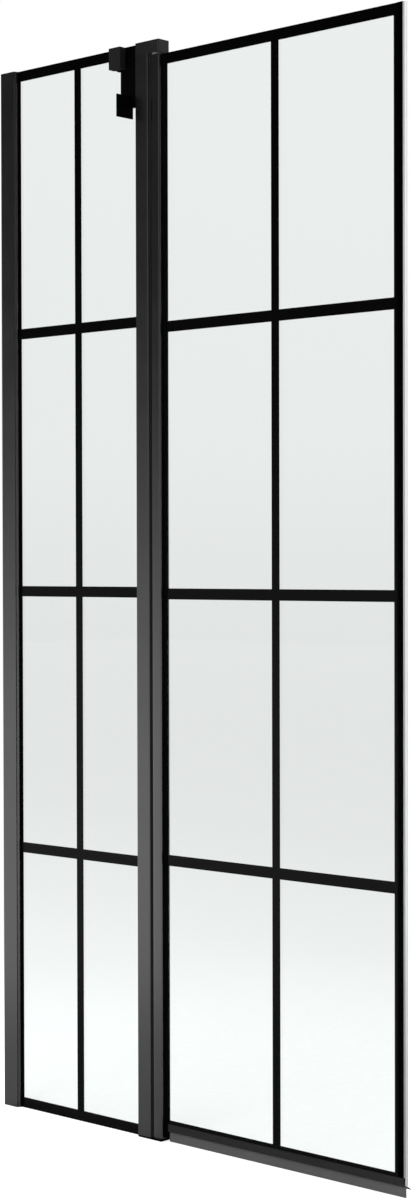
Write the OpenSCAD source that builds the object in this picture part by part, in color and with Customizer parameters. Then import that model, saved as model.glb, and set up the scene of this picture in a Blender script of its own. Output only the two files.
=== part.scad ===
// Two-panel shower screen: a narrow fixed pane beside the wall and a wider pane hinged to it,
// both with a black printed grid. X runs from the wall along the panes, -Y is the side with the
// brace bracket, and Z is up from the shower tray. The origin is on the wall face, at tray level,
// on the middle plane of the glass.

/* [Overall] */
// Height of the screen, from the tray to the top edge of the fixed glass
screen_h = 2000; // [1700:10:2200]
// Thickness of the toughened glass
glass_t = 6; // [5:0.5:7]
// Depth of the aluminium profiles, from front to back
profile_d = 24; // [22:0.5:30]
// Radius on the corners of the hinge profile beside the fixed glass
glass_corner_r = 1; // [0.6:0.2:1.6]
// Radius on the corners of the hinge profile beside the groove
groove_corner_r = 2.4; // [0.8:0.2:3]
// Radius on the corners of the swing profile beside the door glass
door_corner_r = 3; // [1:0.5:5.5]

/* [Wall side] */
// Width of the channel that is screwed to the wall, away from the wall
channel_w = 37; // [33:0.5:46]
// How far the channel reaches behind the middle plane of the glass
channel_back = 9.5; // [9:0.5:14]
// Wall thickness of the channel
channel_wall = 1.6; // [1.2:0.1:2]
// How far the glass profile stands out of the channel, set when the screen is fitted
reach = 2.7; // [0.7:0.2:9.7]
// Width of the glass profile that slides in the channel
slider_w = 28; // [25.5:0.5:32]
// Wall thickness inside the glass profile
slider_wall = 1.6; // [1.2:0.1:2]
// Radius on the front nose corner of the glass profile
nose_r = 4.6; // [1:0.2:5]
// Distance of the highest and lowest wall screws from the ends of the channel
wall_screw_inset = 100; // [60:5:250]
// Distance between the two middle wall screws
wall_screw_mid = 600; // [200:10:900]
// Diameter of the wall screw holes
wall_hole_d = 5.5; // [4:0.1:6.5]
// Distance of the end adjusting screws from the ends of the channel
adjust_inset = 150; // [80:5:400]

/* [Fixed pane] */
// Width of the fixed glass, with the edges hidden in the profiles
fixed_w = 363; // [300:1:600]
// How far the fixed glass goes into the glass profile at the wall
fixed_grip_wall = 16.2; // [13:0.2:18]
// How far the fixed glass goes into the hinge profile
fixed_grip_post = 21; // [14:0.5:23]

/* [Post] */
// Width of the hinge profile that holds the fixed glass
hinge_w = 31.9; // [31:0.1:40]
// Gap between the hinge profile and the round side of the swing profile
swing_gap = 0.6; // [0.4:0.1:1]
// Distance from the pivot axis to the flat side of the swing profile
swing_flat = 16.5; // [16:0.5:24]
// How far the door glass goes into the swing profile
door_grip = 6; // [5.2:0.2:6.4]
// Wall thickness of both post profiles
post_wall = 1.8; // [1.4:0.1:2]
// Height of the top cap over both post profiles
cap_h = 22.2; // [18:0.2:40]
// How far the top cap stands above the fixed glass
cap_rise = 1.2; // [0:0.2:3]
// How far the top cap and the foot plate stop short of the swing profile's flat side
cap_short = 2; // [0:0.5:3]
// How far the top cap and the foot plate reach behind the middle plane of the glass
cap_back = 16.5; // [15:0.5:20]
// Radius on the corners of the top cap and the foot plate beside the door glass
cap_corner_r = 2; // [1:0.5:5]
// Gap between the top cap and the swing profile
cap_gap = 4; // [3:0.5:6]
// Thickness of the steel foot plate under the post
foot_t = 3; // [3:0.5:6]
// Gap between the foot plate and the swing profile
foot_gap = 1.5; // [1.2:0.1:3]
// Diameter of the steel pivot pins
pin_d = 8; // [6:0.5:9]
// Outer diameter of the pivot bushes
bush_d = 15; // [13.5:0.5:16]

/* [Door] */
// Width of the door glass, with the edge hidden in the swing profile
door_w = 555; // [400:1:800]
// Height of the door glass above the tray
door_low = 20; // [16:0.5:40]
// How far the drip seal clip covers the door glass
clip_grip = 13; // [8:0.5:18]
// Clearance under the soft lip of the drip seal
lip_clear = 0.4; // [0.2:0.2:6]
// How far the deflector fin of the drip seal reaches behind the glass
fin_reach = 13; // [8:0.5:20]
// Outer diameter of the soft bulb along the free edge
bulb_d = 5; // [5:0.5:10]

/* [Printed grid] */
// Height of the level bars of the printed grid
bar_h = 20; // [10:1:40]
// Width of the upright bar in the middle of each pane
bar_w = 18; // [10:1:40]
// Rows of clear panes in each grid
grid_rows = 4; // [1:1:8]
// Printed border at each upright edge of the fixed glass
fixed_border = 24; // [20:0.5:40]
// Printed border at the hinge edge of the door glass
door_border_hinge = 14.8; // [12:0.2:30]
// Printed border at the free edge of the door glass
door_border_free = 19.2; // [14:0.2:40]

/* [Brace bracket] */
// Width of the cover block of the brace bracket
block_w = 29.5; // [26:0.5:40]
// Height of the cover block
block_h = 39.5; // [30:0.5:50]
// Thickness of the cover block
block_t = 14; // [9:0.5:18]
// Distance of the cover block's top below the top edge of the glass
block_drop = 0.5; // [0:0.5:20]
// Overall width of the bracket plate
plate_w = 56.5; // [50:0.5:90]
// Overall height of the bracket plate
plate_h = 113; // [85:1:140]
// Thickness of the bent steel bracket
plate_t = 3; // [2:0.5:5]
// Gap between the bracket plate and the hinge profile
plate_gap = 2.5; // [2:0.5:20]
// How far the lug of the bracket stands out from the plate
lug_reach = 37.5; // [28:0.5:60]
// Height of the lug
lug_h = 41; // [24:0.5:50]
// How far the lug hangs below the plate
lug_drop = 20; // [0:0.5:22]

/* [Hidden] */

// Clearances and small sizes that several pieces share
eps = 0.01;
print_t = 0.2;
slide_clear = 0.2;
seat_clear = 0.02;
run_clear = 0.05;
thrust_clear = 0.1;
cap_clear = 0.2;
slot_clear = 0.3;
seal_clear = 0.3;
seal_root = 1.4;
seal_edge = 1.1;
gasket_t = 2.2;
gasket_in = 5;
gasket_lip_t = 1;
wall_lip = 2.3;
post_lip = 2.3;
door_lip = 8.4;
packer_t_fixed = 1.6;
packer_t_door = 1;
packer_l = 60;
packer_inset = 200;
rib_t = 1.6;
plug_t = 2;
channel_cap_t = 2;
peg_h = 8;
peg_clear = 0.3;
least_r = 0.2;
round_fn = 64;

// Faces of the glass and the slots that hold it
glass_back = glass_t / 2;
glass_front = -glass_t / 2;
print_front = glass_front - print_t;
slot_half = glass_t / 2 + gasket_t;
half_d = profile_d / 2;
seal_half = half_d - groove_corner_r - seal_edge;

// Places along the screen
slider_x1 = channel_w + reach;
slider_x0 = slider_x1 - slider_w;
fixed_x0 = slider_x1 - fixed_grip_wall;
fixed_x1 = fixed_x0 + fixed_w;
hinge_x0 = fixed_x1 - fixed_grip_post;
hinge_x1 = hinge_x0 + hinge_w;
hinge_web_x0 = fixed_x1 + packer_t_fixed;
hinge_web_x1 = hinge_web_x0 + rib_t;
hinge_side_t = 2.4;
barrel_r = half_d;
axis_x = hinge_x1 + swing_gap + barrel_r;
swing_x1 = axis_x + swing_flat;
door_x0 = swing_x1 - door_grip;
door_x1 = door_x0 + door_w;
slider_front = channel_wall + slide_clear - half_d;
slider_back = channel_back - channel_wall - slide_clear;

// Heights above the tray
channel_top = screen_h - channel_cap_t;
cap_top = screen_h + cap_rise;
cap_z0 = cap_top - cap_h;
door_top = cap_z0 - cap_gap;
swing_low = foot_t + foot_gap;
swing_z0 = swing_low + plug_t;
swing_z1 = door_top - plug_t;
mid_z = screen_h / 2;

// Pivot pins and bushes
pin_r = pin_d / 2;
bush_r = bush_d / 2;
bush_l = 28;
flange_r = bush_r + 2;
pin_in_cap = 15;
pin_in_bush = 24;

// Screws
screw_r = 2.1;
port_r = screw_r + run_clear;
port_boss_r = 3.3;
port_sink = 0.6;
port_x = (hinge_web_x1 + hinge_x1 - hinge_side_t) / 2;
port_y = half_d - post_wall - port_boss_r + port_sink;
head_r = 4;
head_h = 2.2;
screw_bite = 14;
socket_r = 1.3;
socket_deep = 1.4;
pan_r = 4;
pan_h = 2.2;
adjust_l = 9;
adjust_x = (slider_x0 + fixed_x0 - packer_t_fixed) / 2;
cover_r = 6;
cover_h = 3.4;
cover_wall = 1;

// Drip seal and edge seal
clip_t = 1.6;
clip_base = 0.8;
clip_gap = 9;
lip_past = 2;
clip_start = swing_x1 + clip_gap;
lip_end = door_x1 + lip_past;
lip_t = 1.6;
fin_t = 1.2;
fin_drop = 6.5;
fin_root = 3;
edge_leg = 12;
edge_leg_t = 1;
edge_base = 1.2;
bulb_wall = 0.8;
bulb_sink = 0.4;
bulb_below = 13;
leg_gap = 1;

// Brace bracket
pad_t = 0.8;
brace_top = screen_h - block_drop;
plate_x1 = hinge_x0 - plate_gap;
plate_x0 = plate_x1 - plate_w;
tab_w = 16.5;
tab_x1 = plate_x0 + tab_w;
tab_short = 1;
tab_h = block_h - tab_short;
block_over = 0.5;
block_x0 = plate_x0 - block_over;
bolt_x = block_x0 + block_w / 2;
bolt_z = brace_top - block_h / 2;
bolt_r = 4;
bolt_clear = 0.4;
bolt_end_gap = 0.5;
bolt_socket_r = 2.9;
bolt_socket_deep = 3;
glass_hole_r = 7;
back_plate_t = 5;
bolt_head_r = 6.5;
bolt_head_h = 4.5;
bolt_in_block = 7.5;
lug_in = 42.5;
lug_x0 = plate_x0 + lug_in;
plate_back = print_front - pad_t;
plate_front = plate_back - plate_t;
lug_front = plate_front - lug_reach;
lug_low = brace_top - plate_h - lug_drop;
block_corner_r = 1.2;

// A box from one corner to the other
module box(x0, x1, y0, y1, z0, z1) {
    translate([x0, y0, z0]) cube([x1 - x0, y1 - y0, z1 - z0]);
}

// A section standing up between two heights
module upright(z0, z1) {
    translate([0, 0, z0]) linear_extrude(z1 - z0) children();
}

// A rectangle in the section plane
module area(x0, x1, y0, y1) {
    translate([x0, y0]) square([x1 - x0, y1 - y0]);
}

// A rectangle with all four corners rounded
module rounded_area(x0, x1, y0, y1, r) {
    area(x0 + r, x1 - r, y0, y1);
    area(x0, x1, y0 + r, y1 - r);
    for (x = [x0 + r, x1 - r], y = [y0 + r, y1 - r])
        translate([x, y]) circle(r, $fn = round_fn);
}

// A rectangle with one radius on its left corners and another on its right corners
module rounded_ends(x0, x1, y0, y1, r0, r1) {
    area(x0 + r0, x1 - r1, y0, y1);
    area(x0, x0 + 2 * r0, y0 + r0, y1 - r0);
    area(x1 - 2 * r1, x1, y0 + r1, y1 - r1);
    for (y = [y0 + r0, y1 - r0]) translate([x0 + r0, y]) circle(r0, $fn = round_fn);
    for (y = [y0 + r1, y1 - r1]) translate([x1 - r1, y]) circle(r1, $fn = round_fn);
}

// A rectangle with its right corners rounded, by r0 at the front and by r1 at the back
module rounded_nose(x0, x1, y0, y1, r0, r1) {
    area(x0, x1 - r0, y0, y1 - r1);
    area(x0, x1 - r1, y0 + r0, y1);
    area(x0, x1, y0 + r0, y1 - r1);
    translate([x1 - r0, y0 + r0]) circle(r0, $fn = round_fn);
    translate([x1 - r1, y1 - r1]) circle(r1, $fn = round_fn);
}

module both_sides() {
    children();
    mirror([0, 1]) children();
}

// An upright round bar at a place in plan
module post_rod(x, y, r, z0, z1) {
    translate([x, y, z0]) cylinder(h = z1 - z0, r = r, $fn = round_fn);
}

// A level round bar along Y, from y0 to y1
module cross_rod(x, z, r, y0, y1) {
    translate([x, y0, z]) rotate([-90, 0, 0]) cylinder(h = y1 - y0, r = r, $fn = round_fn);
}

// Wall side
module wall_channel() {
    color("#303030") difference() {
        upright(0, channel_top) difference() {
            area(0, channel_w, -half_d, channel_back);
            area(channel_wall, channel_w + eps, channel_wall - half_d, channel_back - channel_wall);
        }
        for (z = wall_screw_heights())
            translate([-eps, 0, z]) rotate([0, 90, 0])
                cylinder(h = channel_wall + 2 * eps, d = wall_hole_d, $fn = round_fn);
        for (z = adjust_heights())
            cross_rod(adjust_x, z, screw_r + run_clear, channel_back - channel_wall - eps,
                channel_back + eps);
    }
}

function wall_screw_heights() = [wall_screw_inset, mid_z - wall_screw_mid / 2,
    mid_z + wall_screw_mid / 2, screen_h - wall_screw_inset];

function adjust_heights() = [adjust_inset, mid_z, screen_h - adjust_inset];

// The outline of the glass profile, with its nose outside the channel
module slider_outline() {
    rounded_nose(slider_x0, slider_x1, slider_front, slider_back, nose_r,
        min(nose_r, slider_back - slot_half));
}

module channel_top_cap() {
    peg_wall = slider_wall + peg_clear;
    peg_x0 = slider_x0 + peg_wall;
    peg_x1 = fixed_x0 - packer_t_fixed - peg_wall;
    color("#262626") {
        upright(channel_top, screen_h) difference() {
            union() {
                area(0, channel_w, -half_d, channel_back);
                slider_outline();
            }
            area(fixed_x0 - slot_clear, slider_x1 + eps, print_front - slot_clear,
                glass_back + slot_clear);
        }
        box(peg_x0, peg_x1, slider_front + peg_wall, slider_back - peg_wall, channel_top - peg_h,
            channel_top + eps);
    }
}

module glass_profile() {
    slot_x0 = fixed_x0 - packer_t_fixed;
    inner_front = slider_front + slider_wall;
    inner_back = slider_back - slider_wall;
    color("#343434") difference() {
        upright(0, channel_top) difference() {
            slider_outline();
            area(slot_x0, slider_x1 + eps, -slot_half, slot_half);
            area(slider_x0 + slider_wall, slot_x0 - slider_wall, inner_front, inner_back);
            area(slot_x0, slider_x1 - nose_r, inner_front, -slot_half - slider_wall);
        }
        for (z = adjust_heights())
            cross_rod(adjust_x, z, screw_r + run_clear, inner_back - eps, slider_back + eps);
    }
}

module adjusting_screws() {
    color("#8a8a8a") for (z = adjust_heights()) difference() {
        union() {
            cross_rod(adjust_x, z, screw_r, channel_back - adjust_l, channel_back + eps);
            cross_rod(adjust_x, z, pan_r, channel_back, channel_back + pan_h);
        }
        cross_rod(adjust_x, z, socket_r, channel_back + pan_h - socket_deep,
            channel_back + pan_h + eps);
    }
}

module adjusting_screw_covers() {
    color("#262626") for (z = adjust_heights()) difference() {
        cross_rod(adjust_x, z, cover_r, channel_back, channel_back + cover_h);
        cross_rod(adjust_x, z, cover_r - cover_wall, channel_back - eps,
            channel_back + cover_h - cover_wall);
    }
}

// A pair of glazing gaskets at the mouth of a profile, with a wedge inside and a lip outside
module gasket_pair(mouth_x, into, lip, z0, z1) {
    wedge_x = mouth_x + into * gasket_in;
    lip_x = mouth_x - into * lip;
    root_x = mouth_x + into;
    faces = [[-slot_half, print_front, print_front - gasket_lip_t, print_front],
        [glass_back, slot_half, glass_back, glass_back + gasket_lip_t]];
    for (f = faces) upright(z0, z1) {
        area(min(mouth_x, wedge_x), max(mouth_x, wedge_x), f[0], f[1]);
        area(min(root_x, lip_x), max(root_x, lip_x), f[2], f[3]);
    }
}

module wall_glazing_gaskets() {
    color("#161616") gasket_pair(slider_x1, -1, wall_lip, 0, channel_top);
}

// Fixed pane
module fixed_glass() {
    color([0.86, 0.92, 0.91, 0.35]) difference() {
        box(fixed_x0, fixed_x1, glass_front, glass_back, 0, screen_h);
        cross_rod(bolt_x, bolt_z, glass_hole_r, glass_front - eps, glass_back + eps);
    }
}

// A printed border with one upright bar and level bars, on the front face of a pane
module printed_grid(x0, x1, z0, z1, left, right) {
    pane_w = (x1 - x0 - left - right - bar_w) / 2;
    pane_h = (z1 - z0 - (grid_rows + 1) * bar_h) / grid_rows;
    difference() {
        box(x0, x1, print_front, glass_front, z0, z1);
        for (col = [0, 1], row = [0 : grid_rows - 1]) {
            px = x0 + left + col * (pane_w + bar_w);
            pz = z0 + bar_h + row * (pane_h + bar_h);
            box(px, px + pane_w, print_front - eps, glass_front + eps, pz, pz + pane_h);
        }
    }
}

module fixed_glass_print() {
    color("#050505") difference() {
        printed_grid(fixed_x0, fixed_x1, 0, screen_h, fixed_border, fixed_border);
        cross_rod(bolt_x, bolt_z, glass_hole_r, print_front - eps, glass_front + eps);
    }
}

module packer_row(x0, x1, z0, z1) {
    for (z = [z0 + packer_inset, (z0 + z1 - packer_l) / 2, z1 - packer_inset - packer_l])
        box(x0, x1, glass_front, glass_back, z, z + packer_l);
}

module fixed_glass_packers() {
    color("#d8d8d8") {
        packer_row(fixed_x0 - packer_t_fixed, fixed_x0, 0, channel_top);
        packer_row(fixed_x1, hinge_web_x0, foot_t, cap_z0);
    }
}

// Post
module hinge_profile() {
    inner_half = half_d - post_wall;
    chamber_x1 = hinge_x1 - hinge_side_t;
    groove_x0 = hinge_x1 - seal_root;
    color("#303030") upright(foot_t, cap_z0) {
        difference() {
            rounded_ends(hinge_x0, hinge_x1, -half_d, half_d, glass_corner_r, groove_corner_r);
            area(hinge_x0 - eps, hinge_web_x0, -slot_half, slot_half);
            both_sides() area(hinge_x0 + post_wall, hinge_web_x0, slot_half + rib_t, inner_half);
            difference() {
                area(hinge_web_x1, chamber_x1, -inner_half, inner_half);
                both_sides() translate([port_x, port_y]) circle(port_boss_r, $fn = round_fn);
            }
            both_sides() translate([port_x, port_y]) circle(port_r, $fn = round_fn);
            area(groove_x0, hinge_x1 + eps, -seal_half, seal_half);
        }
    }
}

module post_glazing_gaskets() {
    color("#161616") gasket_pair(hinge_x0, 1, post_lip, foot_t, cap_z0);
}

// A flat soft strip let into the hinge profile, just clear of the swing profile's round side
module barrel_seal() {
    color("#161616") upright(foot_t, cap_z0)
        area(hinge_x1 - seal_root, hinge_x1 + swing_gap - seal_clear, -seal_half, seal_half);
}

// The outline of the top cap and the foot plate, open for the fixed glass
module post_outline() {
    difference() {
        rounded_ends(hinge_x0, swing_x1 - cap_short, -half_d, cap_back, glass_corner_r,
            cap_corner_r);
        area(hinge_x0 - eps, fixed_x1 + slot_clear, print_front - slot_clear,
            glass_back + slot_clear);
    }
}

// Countersunk holes over the screw ports; the wide end of each is at height z
module port_holes(z, down, depth) {
    for (y = [-port_y, port_y]) translate([port_x, y, z]) mirror([0, 0, down ? 1 : 0]) {
        translate([0, 0, -eps]) cylinder(h = depth + 2 * eps, r = screw_r + run_clear, $fn = round_fn);
        translate([0, 0, -eps]) cylinder(h = head_h + thrust_clear + eps, r1 = head_r + seat_clear,
            r2 = screw_r + run_clear, $fn = round_fn);
    }
}

// Countersunk screws in the screw ports; the flat of each head is at height z
module port_screws(z, down, depth) {
    for (y = [-port_y, port_y]) translate([port_x, y, z]) mirror([0, 0, down ? 1 : 0])
        difference() {
            union() {
                cylinder(h = head_h, r1 = head_r - slide_clear, r2 = screw_r, $fn = round_fn);
                cylinder(h = depth + screw_bite, r = screw_r, $fn = round_fn);
            }
            translate([0, 0, -eps]) cylinder(h = socket_deep, r = socket_r, $fn = 6);
        }
}

module top_cap() {
    color("#2c2c2c") difference() {
        upright(cap_z0, cap_top) post_outline();
        port_holes(cap_top, true, cap_h);
        post_rod(axis_x, 0, pin_r + seat_clear, cap_z0 - eps, cap_z0 + pin_in_cap);
    }
}

module top_cap_screws() {
    color("#1c1c1c") port_screws(cap_top - thrust_clear, true, cap_h);
}

module top_pivot_pin() {
    color("#b8b8b8") post_rod(axis_x, 0, pin_r, door_top - pin_in_bush, cap_z0 + pin_in_cap);
}

module foot_plate() {
    color("#242424") difference() {
        upright(0, foot_t) post_outline();
        port_holes(0, false, foot_t);
        post_rod(axis_x, 0, pin_r + seat_clear, -eps, foot_t + eps);
    }
}

module foot_screws() {
    color("#1c1c1c") port_screws(thrust_clear, false, foot_t);
}

module foot_pivot_pin() {
    color("#b8b8b8") post_rod(axis_x, 0, pin_r, 0, swing_low + pin_in_bush);
}

// Swing profile
module swing_outline() {
    translate([axis_x, 0]) circle(barrel_r, $fn = 2 * round_fn);
    rounded_nose(axis_x, swing_x1, -half_d, half_d, door_corner_r, door_corner_r);
}

module swing_profile() {
    slot_x0 = door_x0 - packer_t_door;
    inner_x1 = swing_x1 - post_wall;
    inner_half = half_d - post_wall;
    inner_r = max(door_corner_r - post_wall, least_r);
    color("#303030") upright(swing_z0, swing_z1) difference() {
        swing_outline();
        translate([axis_x, 0]) circle(bush_r + seat_clear, $fn = 2 * round_fn);
        area(slot_x0, swing_x1 + eps, -slot_half, slot_half);
        intersection() {
            rounded_nose(slot_x0, inner_x1, -inner_half, inner_half, inner_r, inner_r);
            both_sides() area(slot_x0, inner_x1, slot_half + rib_t, half_d);
        }
    }
}

module swing_top_plug() {
    color("#1e1e1e") upright(swing_z1, door_top) difference() {
        swing_outline();
        translate([axis_x, 0]) circle(bush_r + seat_clear, $fn = 2 * round_fn);
        area(door_x0 - slot_clear, swing_x1 + eps, print_front - slot_clear,
            glass_back + slot_clear);
    }
}

module swing_bottom_plug() {
    color("#1e1e1e") upright(swing_low, swing_z0) difference() {
        swing_outline();
        translate([axis_x, 0]) circle(bush_r + seat_clear, $fn = 2 * round_fn);
    }
}

module top_bush() {
    color("#9c9c9c") difference() {
        union() {
            post_rod(axis_x, 0, bush_r, door_top - bush_l, door_top + eps);
            post_rod(axis_x, 0, flange_r, door_top, cap_z0 - cap_clear);
        }
        post_rod(axis_x, 0, pin_r + run_clear, door_top - bush_l - eps, cap_z0 + eps);
    }
}

module bottom_bush() {
    color("#9c9c9c") difference() {
        union() {
            post_rod(axis_x, 0, bush_r, swing_low - eps, swing_low + bush_l);
            post_rod(axis_x, 0, flange_r, foot_t + thrust_clear, swing_low);
        }
        post_rod(axis_x, 0, pin_r + run_clear, foot_t, swing_low + bush_l + eps);
    }
}

// Door
module door_glazing_gaskets() {
    color("#161616") gasket_pair(swing_x1, -1, door_lip, swing_z0, swing_z1);
}

module door_glass() {
    color([0.86, 0.92, 0.91, 0.35])
        box(door_x0, door_x1, glass_front, glass_back, door_low, door_top);
}

module door_glass_print() {
    color("#050505")
        printed_grid(door_x0, door_x1, door_low, door_top, door_border_hinge, door_border_free);
}

module door_glass_packers() {
    color("#d8d8d8") packer_row(door_x0 - packer_t_door, door_x0, door_low, swing_z1);
}

// A section in the YZ plane, drawn with Y to the right and Z up, run along X
module along_x(x0, x1) {
    translate([x0, 0, 0]) rotate([90, 0, 90]) linear_extrude(x1 - x0) children();
}

module drip_seal_clip() {
    clip_top = door_low + clip_grip;
    clip_low = door_low - clip_base;
    color("#2b2b2b") along_x(clip_start, door_x1) {
        area(print_front - clip_t, print_front, clip_low, clip_top);
        area(glass_back, glass_back + clip_t, clip_low, clip_top);
        area(print_front - clip_t, glass_back + clip_t, clip_low, door_low);
    }
}

// The soft part under the clip: a hanging lip and a sloping deflector fin behind it
module drip_seal_lip() {
    root_z = door_low - clip_base;
    color("#5a5a5a") along_x(clip_start, lip_end)
        polygon([[-lip_t / 2, root_z], [fin_root, root_z], [fin_reach, root_z - fin_drop],
            [fin_reach - fin_t / 2, root_z - fin_drop - fin_t], [lip_t / 2, root_z - fin_t],
            [lip_t / 2, lip_clear], [-lip_t / 2, lip_clear]]);
}

module edge_seal() {
    legs_low = door_low + clip_grip + leg_gap;
    bulb_x = door_x1 + edge_base + bulb_d / 2 - bulb_sink;
    color([0.93, 0.94, 0.94, 0.6]) difference() {
        union() {
            upright(legs_low, door_top) {
                area(door_x1 - edge_leg, door_x1 + edge_base, print_front - edge_leg_t, print_front);
                area(door_x1 - edge_leg, door_x1 + edge_base, glass_back, glass_back + edge_leg_t);
                area(door_x1, door_x1 + edge_base, print_front - edge_leg_t,
                    glass_back + edge_leg_t);
            }
            post_rod(bulb_x, 0, bulb_d / 2, legs_low - bulb_below, door_top);
        }
        post_rod(bulb_x, 0, bulb_d / 2 - bulb_wall, legs_low - bulb_below - eps, door_top + eps);
    }
}

// Brace bracket
module brace_outline() {
    polygon([[plate_x0, brace_top], [plate_x1, brace_top], [plate_x1, brace_top - plate_h],
        [tab_x1, brace_top - plate_h], [tab_x1, brace_top - tab_h], [plate_x0, brace_top - tab_h]]);
}

// A section in the XZ plane, run from y0 to y1
module through_y(y0, y1) {
    translate([0, y1, 0]) rotate([90, 0, 0]) linear_extrude(y1 - y0) children();
}

module brace_bracket() {
    color("#080808") difference() {
        union() {
            through_y(plate_front, plate_back) brace_outline();
            box(lug_x0, lug_x0 + plate_t, lug_front, plate_back, lug_low, lug_low + lug_h);
        }
        cross_rod(bolt_x, bolt_z, bolt_r + bolt_clear, plate_front - eps, plate_back + eps);
    }
}

module brace_cover_block() {
    color("#2c2c2c") difference() {
        through_y(plate_front - block_t, plate_front)
            rounded_area(block_x0, block_x0 + block_w, brace_top - block_h, brace_top,
                block_corner_r);
        cross_rod(bolt_x, bolt_z, bolt_r + seat_clear, plate_front - bolt_in_block,
            plate_front + eps);
    }
}

module brace_back_plate() {
    y0 = glass_back + pad_t;
    color("#2c2c2c") difference() {
        through_y(y0, y0 + back_plate_t)
            rounded_area(block_x0, block_x0 + block_w, brace_top - block_h, brace_top,
                block_corner_r);
        cross_rod(bolt_x, bolt_z, bolt_r + bolt_clear, y0 - eps, y0 + back_plate_t + eps);
    }
}

module brace_pads() {
    color("#161616") {
        difference() {
            through_y(plate_back, print_front) brace_outline();
            cross_rod(bolt_x, bolt_z, glass_hole_r, plate_back - eps, print_front + eps);
        }
        difference() {
            through_y(glass_back, glass_back + pad_t)
                rounded_area(block_x0, block_x0 + block_w, brace_top - block_h, brace_top,
                    block_corner_r);
            cross_rod(bolt_x, bolt_z, glass_hole_r, glass_back - eps, glass_back + pad_t + eps);
        }
    }
}

module brace_glass_bush() {
    color("#d8d8d8") difference() {
        cross_rod(bolt_x, bolt_z, glass_hole_r - thrust_clear, plate_back, glass_back + pad_t);
        cross_rod(bolt_x, bolt_z, bolt_r + thrust_clear, plate_back - eps, glass_back + pad_t + eps);
    }
}

module brace_bolt() {
    head_y = glass_back + pad_t + back_plate_t;
    color("#1c1c1c") difference() {
        union() {
            cross_rod(bolt_x, bolt_z, bolt_r, plate_front - bolt_in_block + bolt_end_gap,
                head_y + eps);
            cross_rod(bolt_x, bolt_z, bolt_head_r, head_y, head_y + bolt_head_h);
        }
        translate([bolt_x, head_y + bolt_head_h - bolt_socket_deep, bolt_z]) rotate([-90, 0, 0])
            cylinder(h = bolt_socket_deep + eps, r = bolt_socket_r, $fn = 6);
    }
}

wall_channel();
channel_top_cap();
glass_profile();
adjusting_screws();
adjusting_screw_covers();
wall_glazing_gaskets();
fixed_glass();
fixed_glass_print();
fixed_glass_packers();
hinge_profile();
post_glazing_gaskets();
barrel_seal();
top_cap();
top_cap_screws();
top_pivot_pin();
foot_plate();
foot_screws();
foot_pivot_pin();
swing_profile();
swing_top_plug();
swing_bottom_plug();
top_bush();
bottom_bush();
door_glazing_gaskets();
door_glass();
door_glass_print();
door_glass_packers();
drip_seal_clip();
drip_seal_lip();
edge_seal();
brace_bracket();
brace_cover_block();
brace_back_plate();
brace_pads();
brace_glass_bush();
brace_bolt();
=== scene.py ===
# Looks of the two-panel shower screen: its materials, and the camera, floor, studio and lamps.
# Lengths are in metres unless a name says otherwise.
import math

import bpy
from mathutils import Matrix, Vector


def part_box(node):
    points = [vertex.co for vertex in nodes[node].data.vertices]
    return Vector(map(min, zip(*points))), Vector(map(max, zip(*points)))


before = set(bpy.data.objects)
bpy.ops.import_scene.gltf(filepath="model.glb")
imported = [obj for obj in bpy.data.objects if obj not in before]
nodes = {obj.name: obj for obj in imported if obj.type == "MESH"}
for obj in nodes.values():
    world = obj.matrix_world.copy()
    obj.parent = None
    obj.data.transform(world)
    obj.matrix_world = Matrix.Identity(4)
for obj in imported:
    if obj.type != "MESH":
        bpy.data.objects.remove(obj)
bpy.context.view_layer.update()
scene = bpy.context.scene

MM_PER_M = 1000.0

# Camera, solved from the printed grid in the photograph's frame of 411 x 1200 pixels
CAMERA_PLACE = (3.259383, -2.936976, 1.049393)
CAMERA_YAW_DEG = 42.93731
CAMERA_PITCH_DEG = 0.888382
CAMERA_ROLL_DEG = -0.134217
CAMERA_CLIP = (0.1, 100.0)
SENSOR_MM = 36.0
FOCAL_PX = 2245.827
LONG_SIDE_PX = 1200.0

# Stretches of a noise's value over which a colour or a roughness goes from one end to the other
COLOUR_SPAN = (0.35, 0.65)
FINISH_SPAN = (0.3, 0.7)
UNIT = (0.0, 1.0)

# Coated, moulded and rubber surfaces: broad blotches mixed with a fine grain
COAT_IOR = 2.0
BLOTCH_SCALE = 9.0
BLOTCH_SHARE = 0.7
GRAIN_SHARE = 0.3
DRAWN_GRAIN = 0.05
UNDERSIDE_FACING = (-0.5, -0.9)
UNDERSIDE_ROUGH = 0.95

# Glass: its lightness at heights above the floor, set to match the photograph. The change of
# lightness with height is painted light, standing in for reflected light.
GLASS_IOR = 1.5
GLASS_TOP = 2.0
GLASS_PAINTED_LIGHT = ((0.0, 0.98), (0.24, 0.935), (0.38, 0.88), (0.6, 0.79), (0.9, 0.785), (1.2, 0.85),
               (1.4, 0.875), (2.0, 0.9))
GLASS_CHANNELS = (0.967, 1.0, 0.99)
GLASS_SHADE = (0.9, 0.92, 0.91)
SPECK_SCALE = 260.0
SPECK_SPAN = (0.62, 0.8)
SPECK_ROUGH = (0.0, 0.05)

# Edge seal: darker low down as painted shade, clear on the glass and milky from just past the
# glass's edge
SEAL_IOR = 1.1
SEAL_SPECULAR = 1.0
SEAL_HEIGHTS = (0.15, 0.5)
SEAL_PAINTED_SHADE = (0.67, 0.88)
SEAL_MOTTLE = (-0.02, 0.02)
SEAL_ROUGH = (0.08, 0.18)
SEAL_SHADE = (0.85, 0.86, 0.86)
SEAL_STREAK_SCALE = 700.0
SEAL_STREAK_STRETCH = 0.01
SEAL_STREAK_DEPTH = 0.0001
SEAL_CLOUD_SCALE = 14.0
SEAL_PAST_GLASS = 0.0006
SEAL_BLEND = 0.0002
SEAL_CLARITY = (1.0, 0.45)

# Steel of pins and screws: fine turning marks over a faint cloud
TURNING_SCALE = 2200.0
TURNING_STRETCH = 0.2
TURNING_DEPTH = 0.00004
STEEL_CLOUD_SCALE = 40.0
STEEL_LIFT = 1.12

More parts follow.
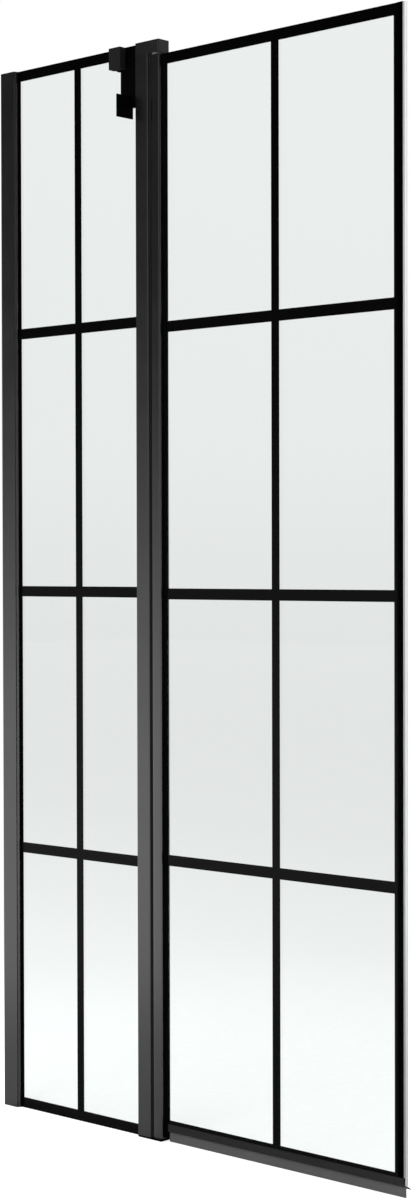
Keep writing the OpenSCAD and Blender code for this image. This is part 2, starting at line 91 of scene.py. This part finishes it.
# Floor: its paint, the glow that whitens it where it is seen straight or through glass, and the
# distances between which it fades to plain white
FLOOR_SIZE = 40.0
FLOOR_PLACE = (0.45, 0.0, -0.0006)
FLOOR_GRAIN_SCALE = 60.0
FLOOR_PAINT = (0.8, 0.84)
# Painted shade: how much darker the floor's paint is where a glossy surface mirrors it
FLOOR_PAINTED_SHADE_MIRRORED = 0.34
FLOOR_GLOW = 0.6
FLOOR_FADE = (0.7, 2.2)

# Studio that reflections show: light low down and dark high up, with two soft patches of light.
# A patch shows where a reflection's direction comes near to the patch's own.
RISE_SPAN = (-0.135, 0.135)
RISE_LIGHT = (1.0, 0.05)
SIDE_DIRECTION = (0.68, 0.73, 0.0)
SIDE_SPAN = (0.75, 0.95)
SIDE_LIGHT = 0.21
FRONT_DIRECTION = (-0.08, -0.997, 0.0)
FRONT_SPAN = (0.88, 0.98)
FRONT_LIGHT = 0.7
AMBIENT_LIGHT = 0.8
WHITE = (1.0, 1.0, 1.0, 1.0)


def make_camera():
    yaw = math.radians(CAMERA_YAW_DEG)
    pitch = math.radians(CAMERA_PITCH_DEG)
    roll = math.radians(CAMERA_ROLL_DEG)
    back = Vector((math.sin(yaw) * math.cos(pitch), -math.cos(yaw) * math.cos(pitch),
                   math.sin(pitch)))
    level = Vector((math.cos(yaw), math.sin(yaw), 0.0))
    above = back.cross(level)
    right = math.cos(roll) * level + math.sin(roll) * above
    up = -math.sin(roll) * level + math.cos(roll) * above
    turn = Matrix((right, up, back)).transposed().to_4x4()
    turn.translation = Vector(CAMERA_PLACE)
    data = bpy.data.cameras.new("camera")
    data.sensor_width = SENSOR_MM
    data.lens = FOCAL_PX * SENSOR_MM / LONG_SIDE_PX
    data.clip_start, data.clip_end = CAMERA_CLIP
    camera = bpy.data.objects.new("camera", data)
    camera.matrix_world = turn
    scene.collection.objects.link(camera)
    scene.camera = camera


# A node tree being built: each method adds what its name says and gives back the result's socket
class Tree:
    def __init__(self, tree):
        self.tree = tree
        tree.nodes.clear()

    def add(self, kind, **values):
        node = self.tree.nodes.new(kind)
        for name, value in values.items():
            setattr(node, name, value)
        return node

    def link(self, source, target):
        self.tree.links.new(source, target)

    def coords(self, kind="Object"):
        return self.add("ShaderNodeTexCoord").outputs[kind]

    def axes(self, vector):
        node = self.add("ShaderNodeSeparateXYZ")
        self.link(vector, node.inputs["Vector"])
        return node.outputs

    def stretched(self, where, x, y, z):
        node = self.add("ShaderNodeMapping")
        node.inputs["Scale"].default_value = (x, y, z)
        self.link(where, node.inputs["Vector"])
        return node.outputs["Vector"]

    def noise(self, where, scale, detail=3.0, rough=0.5):
        node = self.add("ShaderNodeTexNoise")
        node.inputs["Scale"].default_value = scale
        node.inputs["Detail"].default_value = detail
        node.inputs["Roughness"].default_value = rough
        self.link(where, node.inputs["Vector"])
        return node.outputs["Fac"]

    def spread(self, value, span, result=UNIT, ease="LINEAR"):
        node = self.add("ShaderNodeMapRange", interpolation_type=ease)
        node.inputs["From Min"].default_value, node.inputs["From Max"].default_value = span
        node.inputs["To Min"].default_value, node.inputs["To Max"].default_value = result
        self.link(value, node.inputs["Value"])
        return node.outputs["Result"]

    def math(self, operation, first, second):
        node = self.add("ShaderNodeMath", operation=operation)
        for socket, value in zip(node.inputs, (first, second)):
            if isinstance(value, float):
                socket.default_value = value
            else:
                self.link(value, socket)
        return node.outputs["Value"]

    def blend(self, first, first_share, second, second_share):
        return self.math("ADD", self.math("MULTIPLY", first, first_share),
                         self.math("MULTIPLY", second, second_share))

    def tint(self, factor, first, second):
        node = self.add("ShaderNodeMix", data_type="RGBA")
        node.inputs["A"].default_value = (*first, 1.0)
        node.inputs["B"].default_value = (*second, 1.0)
        self.link(factor, node.inputs["Factor"])
        return node.outputs["Result"]

    def bump(self, height, depth):
        node = self.add("ShaderNodeBump")
        node.inputs["Distance"].default_value = depth
        self.link(height, node.inputs["Height"])
        return node.outputs["Normal"]

    def mix_shaders(self, factor, first, second):
        node = self.add("ShaderNodeMixShader")
        for socket, source in zip(node.inputs, (factor, first, second)):
            self.link(source, socket)
        return node.outputs["Shader"]

    def rays(self):
        return self.add("ShaderNodeLightPath").outputs

    def seen_straight(self, rays):
        return self.math("MAXIMUM", rays["Is Camera Ray"], rays["Is Transmission Ray"])


def new_material(name):
    made = bpy.data.materials.new(name)
    made.use_nodes = True
    tree = Tree(made.node_tree)
    shader = tree.add("ShaderNodeBsdfPrincipled")
    surface = tree.add("ShaderNodeOutputMaterial").inputs["Surface"]
    tree.link(shader.outputs["BSDF"], surface)
    return made, tree, shader, surface


# Lets lamp light through a clear piece: shadow rays meet only a thin tinted film
def pass_lamp_light(tree, shader, surface, shade):
    film = tree.add("ShaderNodeBsdfTransparent")
    film.inputs["Color"].default_value = (*shade, 1.0)
    mixed = tree.mix_shaders(tree.rays()["Is Shadow Ray"], shader.outputs["BSDF"],
                             film.outputs["BSDF"])
    tree.link(mixed, surface)


# A coated, moulded or rubber surface: two close colours, uneven roughness and a fine grain. A
# drawn grain runs along Z, and a dull underside keeps the floor's reflection off it.
def coated(name, dark, light, rough, grain_mm, depth_mm, specular=0.5, ior=1.5, drawn=False,
           dull_below=False):
    made, tree, shader, _ = new_material(name)
    where = tree.coords()
    blotches = tree.noise(where, BLOTCH_SCALE, detail=4.0, rough=0.6)
    grain_place = tree.stretched(where, 1.0, 1.0, DRAWN_GRAIN) if drawn else where
    grain = tree.noise(grain_place, MM_PER_M / grain_mm, detail=2.0, rough=0.55)
    mixed = tree.blend(blotches, BLOTCH_SHARE, grain, GRAIN_SHARE)
    colour = tree.tint(tree.spread(mixed, COLOUR_SPAN), dark, light)
    finish = tree.spread(mixed, FINISH_SPAN, rough)
    if dull_below:
        facing = tree.axes(tree.coords("Normal"))["Z"]
        finish = tree.math("MAXIMUM", finish,
                           tree.spread(facing, UNDERSIDE_FACING, (0.0, UNDERSIDE_ROUGH)))
    tree.link(colour, shader.inputs["Base Color"])
    tree.link(finish, shader.inputs["Roughness"])
    tree.link(tree.bump(grain, depth_mm / MM_PER_M), shader.inputs["Normal"])
    shader.inputs["Specular IOR Level"].default_value = specular
    shader.inputs["IOR"].default_value = ior
    return made


# Clear glass with a faint tint and painted light: its lightness changes by height to stand in
# for reflected light. It has faint dried specks.
def clear_glass(name):
    made, tree, shader, surface = new_material(name)
    where = tree.coords()
    ramp = tree.add("ShaderNodeValToRGB")
    ramp.color_ramp.interpolation = "CARDINAL"
    row = ramp.color_ramp.elements
    row.remove(row[1])
    # Painted light: the glass's lightness at each height stands in for reflected light
    for index, (height, tone) in enumerate(GLASS_PAINTED_LIGHT):
        stop = row.new(height / GLASS_TOP) if index else row[0]
        stop.color = (*(tone * channel for channel in GLASS_CHANNELS), 1.0)
    tree.link(tree.spread(tree.axes(where)["Z"], (0.0, GLASS_TOP)), ramp.inputs["Fac"])
    specks = tree.noise(where, SPECK_SCALE, detail=2.0)
    tree.link(ramp.outputs["Color"], shader.inputs["Base Color"])
    tree.link(tree.spread(specks, SPECK_SPAN, SPECK_ROUGH), shader.inputs["Roughness"])
    shader.inputs["Transmission Weight"].default_value = 1.0
    shader.inputs["IOR"].default_value = GLASS_IOR
    pass_lamp_light(tree, shader, surface, GLASS_SHADE)
    return made


# Soft plastic of the edge seal: clear legs on the glass, and a milky strip and bulb past clear_end
def clear_plastic(name, clear_end):
    made, tree, shader, surface = new_material(name)
    where = tree.coords()
    axes = tree.axes(where)
    streaks = tree.noise(tree.stretched(where, 1.0, 1.0, SEAL_STREAK_STRETCH), SEAL_STREAK_SCALE,
                         detail=2.0)
    mixed = tree.blend(streaks, 0.5, tree.noise(where, SEAL_CLOUD_SCALE), 0.5)
    # Painted shade: the seal's colour darkens towards the bottom
    tone = tree.math("ADD", tree.spread(axes["Z"], SEAL_HEIGHTS, SEAL_PAINTED_SHADE),
                     tree.spread(mixed, COLOUR_SPAN, SEAL_MOTTLE))
    clarity = tree.spread(axes["X"], (clear_end - SEAL_BLEND, clear_end + SEAL_BLEND),
                          SEAL_CLARITY)
    tree.link(tone, shader.inputs["Base Color"])
    tree.link(tree.spread(mixed, FINISH_SPAN, SEAL_ROUGH), shader.inputs["Roughness"])
    tree.link(tree.bump(streaks, SEAL_STREAK_DEPTH), shader.inputs["Normal"])
    tree.link(clarity, shader.inputs["Transmission Weight"])
    shader.inputs["IOR"].default_value = SEAL_IOR
    shader.inputs["Specular IOR Level"].default_value = SEAL_SPECULAR
    pass_lamp_light(tree, shader, surface, SEAL_SHADE)
    return made


def turned_steel(name, colour, rough):
    made, tree, shader, _ = new_material(name)
    where = tree.coords()
    rings = tree.noise(tree.stretched(where, TURNING_STRETCH, TURNING_STRETCH, 1.0), TURNING_SCALE,
                       detail=2.0)
    cloud = tree.noise(where, STEEL_CLOUD_SCALE)
    light = tuple(channel * STEEL_LIFT for channel in colour)
    tint = tree.tint(tree.spread(cloud, COLOUR_SPAN), colour, light)
    tree.link(tint, shader.inputs["Base Color"])
    tree.link(tree.spread(rings, FINISH_SPAN, rough), shader.inputs["Roughness"])
    tree.link(tree.bump(rings, TURNING_DEPTH), shader.inputs["Normal"])
    shader.inputs["Metallic"].default_value = 1.0
    return made


# Coated profiles and caps, the brace's black pieces, pins and screws
POWDER_COAT = coated(
    "powder_coat", dark=(0.0035, 0.0035, 0.0037), light=(0.0055, 0.0055, 0.0057),
    rough=(0.18, 0.26), grain_mm=0.5, depth_mm=0.01, ior=COAT_IOR)
SMOOTH_COAT = coated(
    "smooth_powder_coat", dark=(0.003, 0.003, 0.0032), light=(0.005, 0.005, 0.0052),
    rough=(0.15, 0.21), grain_mm=0.5, depth_mm=0.008, ior=COAT_IOR)
CAP_COAT = coated(
    "cap_coat", dark=(0.004, 0.004, 0.0042), light=(0.006, 0.006, 0.0062),
    rough=(0.22, 0.30), grain_mm=0.6, depth_mm=0.015, ior=COAT_IOR, dull_below=True)
BLACK_STEEL = coated(
    "black_steel", dark=(0.0006, 0.0006, 0.0006), light=(0.0012, 0.0012, 0.0012),
    rough=(0.5, 0.62), grain_mm=0.6, depth_mm=0.02, specular=0.03)
BLACK_BLOCK = coated(
    "black_block", dark=(0.008, 0.008, 0.0083), light=(0.012, 0.012, 0.0124),
    rough=(0.36, 0.46), grain_mm=0.5, depth_mm=0.02, specular=0.2, dull_below=True)
GROUND_STEEL = turned_steel("ground_steel", (0.56, 0.56, 0.57), rough=(0.18, 0.3))
SCREW_STEEL = turned_steel("black_screw", (0.05, 0.05, 0.052), rough=(0.3, 0.42))

# Plastic and rubber
MOULDING = coated(
    "black_moulding", dark=(0.006, 0.006, 0.0063), light=(0.010, 0.010, 0.0105),
    rough=(0.32, 0.44), grain_mm=0.8, depth_mm=0.02)
CLIP_PLASTIC = coated(
    "clip_plastic", dark=(0.012, 0.012, 0.0124), light=(0.017, 0.017, 0.0175),
    rough=(0.35, 0.5), grain_mm=0.9, depth_mm=0.03, specular=0.3)
ACETAL = coated(
    "grey_acetal", dark=(0.14, 0.14, 0.145), light=(0.18, 0.18, 0.185),
    rough=(0.32, 0.45), grain_mm=0.9, depth_mm=0.02)
WHITE_PLASTIC = coated(
    "white_plastic", dark=(0.72, 0.72, 0.7), light=(0.8, 0.8, 0.78),
    rough=(0.35, 0.5), grain_mm=0.9, depth_mm=0.02)
RUBBER = coated(
    "black_rubber", dark=(0.0008, 0.0008, 0.0008), light=(0.0016, 0.0016, 0.0016),
    rough=(0.6, 0.78), grain_mm=1.2, depth_mm=0.04, specular=0.05, drawn=True)
# Painted light: the barrel seal is the black rubber made lighter, so that the groove between the
# profiles reads lighter than its shade
GROOVE_PAINTED_LIGHT_RUBBER = coated(
    "groove_rubber_painted_light", dark=(0.030, 0.030, 0.0305), light=(0.042, 0.042, 0.0425),
    rough=(0.5, 0.65), grain_mm=1.2, depth_mm=0.04, specular=0.3, drawn=True)
# The drip seal's lip is lighter than the black clip: partly its own grey, partly painted light
LIP_RUBBER = coated(
    "grey_seal", dark=(0.086, 0.087, 0.089), light=(0.105, 0.105, 0.107),
    rough=(0.4, 0.55), grain_mm=1.0, depth_mm=0.03, specular=0.4)
CLEAR_SEAL = clear_plastic("clear_seal", clear_end=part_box("door_glass")[1][0] + SEAL_PAST_GLASS)

# Glass and its print
GLASS = clear_glass("clear_glass")
ENAMEL = coated(
    "black_enamel", dark=(0.0003, 0.0003, 0.0003), light=(0.0007, 0.0007, 0.0007),
    rough=(0.2, 0.28), grain_mm=2.5, depth_mm=0.004, specular=0.1)

LOOK = {
    POWDER_COAT: ("wall_channel", "glass_profile", "hinge_profile"),
    SMOOTH_COAT: ("swing_profile",),
    CAP_COAT: ("top_cap", "channel_top_cap"),
    BLACK_STEEL: ("brace_bracket", "foot_plate"),
    BLACK_BLOCK: ("brace_cover_block", "brace_back_plate"),
    GROUND_STEEL: ("top_pivot_pin", "foot_pivot_pin"),
    SCREW_STEEL: ("adjusting_screws", "top_cap_screws", "foot_screws", "brace_bolt"),
    MOULDING: ("swing_top_plug", "swing_bottom_plug", "adjusting_screw_covers"),
    CLIP_PLASTIC: ("drip_seal_clip",),
    ACETAL: ("top_bush", "bottom_bush"),
    WHITE_PLASTIC: ("fixed_glass_packers", "door_glass_packers", "brace_glass_bush"),
    RUBBER: ("wall_glazing_gaskets", "post_glazing_gaskets", "door_glazing_gaskets", "brace_pads"),
    GROOVE_PAINTED_LIGHT_RUBBER: ("barrel_seal",),
    LIP_RUBBER: ("drip_seal_lip",),
    CLEAR_SEAL: ("edge_seal",),
    GLASS: ("fixed_glass", "door_glass"),
    ENAMEL: ("fixed_glass_print", "door_glass_print"),
}


def dress_nodes():
    for look, names in LOOK.items():
        for name in names:
            for slot in nodes[name].material_slots:
                slot.material = look


# White paint that keeps the object's soft shadow and fades to plain white. Where a glossy surface
# mirrors it, it is darker: painted shade that stands in for the shade on the floor near the
# object.
def floor_paint():
    made = bpy.data.materials.new("floor")
    made.use_nodes = True
    tree = Tree(made.node_tree)
    surface = tree.add("ShaderNodeOutputMaterial").inputs["Surface"]
    where = tree.coords()
    rays = tree.rays()
    straight = tree.seen_straight(rays)
    mirrored = rays["Is Glossy Ray"]
    paint = tree.add("ShaderNodeBsdfDiffuse")
    tone = tree.spread(tree.noise(where, FLOOR_GRAIN_SCALE), FINISH_SPAN, FLOOR_PAINT)
    # Painted shade: the floor's paint is darker in reflections
    darker = tree.math("MULTIPLY", mirrored, FLOOR_PAINTED_SHADE_MIRRORED)
    tree.link(tree.math("SUBTRACT", tone, darker), paint.inputs["Color"])
    glow = tree.add("ShaderNodeEmission")
    tree.link(tree.math("MULTIPLY", straight, FLOOR_GLOW), glow.inputs["Strength"])
    near = tree.add("ShaderNodeAddShader")
    tree.link(paint.outputs["BSDF"], near.inputs[0])
    tree.link(glow.outputs["Emission"], near.inputs[1])
    distance = tree.add("ShaderNodeVectorMath", operation="LENGTH")
    tree.link(where, distance.inputs[0])
    fade = tree.spread(distance.outputs["Value"], FLOOR_FADE, ease="SMOOTHSTEP")
    white = tree.add("ShaderNodeEmission")
    share = tree.math("MULTIPLY", tree.math("MAXIMUM", straight, mirrored), fade)
    mixed = tree.mix_shaders(share, near.outputs["Shader"], white.outputs["Emission"])
    tree.link(mixed, surface)
    return made


def make_floor():
    half = FLOOR_SIZE / 2
    corners = [(-half, -half, 0.0), (half, -half, 0.0), (half, half, 0.0), (-half, half, 0.0)]
    mesh = bpy.data.meshes.new("floor")
    mesh.from_pydata(corners, [], [(0, 1, 2, 3)])
    mesh.materials.append(floor_paint())
    floor = bpy.data.objects.new("floor", mesh)
    floor.location = FLOOR_PLACE
    scene.collection.objects.link(floor)


def light_patch(tree, looking, direction, span, light):
    nearness = tree.add("ShaderNodeVectorMath", operation="DOT_PRODUCT")
    nearness.inputs[1].default_value = direction
    tree.link(looking, nearness.inputs[0])
    return tree.spread(nearness.outputs["Value"], span, (0.0, light))


# World: white for what is seen straight or through glass, the studio in reflections, and an even
# ambient light for the rest
def make_world():
    world = bpy.data.worlds.new("studio")
    scene.world = world
    world.use_nodes = True
    tree = Tree(world.node_tree)
    surface = tree.add("ShaderNodeOutputWorld").inputs["Surface"]
    looking = tree.coords("Generated")
    rise = tree.spread(tree.axes(looking)["Z"], RISE_SPAN, RISE_LIGHT, ease="SMOOTHSTEP")
    side = light_patch(tree, looking, SIDE_DIRECTION, SIDE_SPAN, SIDE_LIGHT)
    front = light_patch(tree, looking, FRONT_DIRECTION, FRONT_SPAN, FRONT_LIGHT)
    studio = tree.math("MAXIMUM", rise, tree.math("MAXIMUM", side, front))
    rays = tree.rays()
    straight = tree.seen_straight(rays)
    mirrored = rays["Is Glossy Ray"]
    seen = tree.math("MAXIMUM", straight, tree.math("MULTIPLY", mirrored, studio))
    rest = tree.math("SUBTRACT", 1.0, tree.math("MAXIMUM", straight, mirrored))
    background = tree.add("ShaderNodeBackground")
    background.inputs["Color"].default_value = WHITE
    strength = tree.math("ADD", seen, tree.math("MULTIPLY", rest, AMBIENT_LIGHT))
    tree.link(strength, background.inputs["Strength"])
    tree.link(background.outputs["Background"], surface)


# A soft rectangular lamp that is itself unseen, also in glass and in reflections
def make_lamp(name, place, target, size, power):
    data = bpy.data.lights.new(name, "AREA")
    data.shape = "RECTANGLE"
    data.size, data.size_y = size
    data.energy = power
    lamp = bpy.data.objects.new(name, data)
    lamp.location = place
    lamp.rotation_mode = "QUATERNION"
    lamp.rotation_quaternion = (Vector(target) - Vector(place)).to_track_quat("-Z", "Y")
    lamp.visible_camera = False
    lamp.visible_transmission = False
    lamp.visible_glossy = False
    scene.collection.objects.link(lamp)


dress_nodes()
make_camera()
make_floor()
make_world()
make_lamp("key", place=(1.6, -3.6, 3.4), target=(0.5, 0.0, 0.9), size=(2.6, 1.8), power=80.0)
make_lamp("fill", place=(-2.4, 2.6, 3.2), target=(0.4, 0.0, 0.8), size=(2.4, 2.0), power=40.0)
scene.view_settings.view_transform = "Standard"
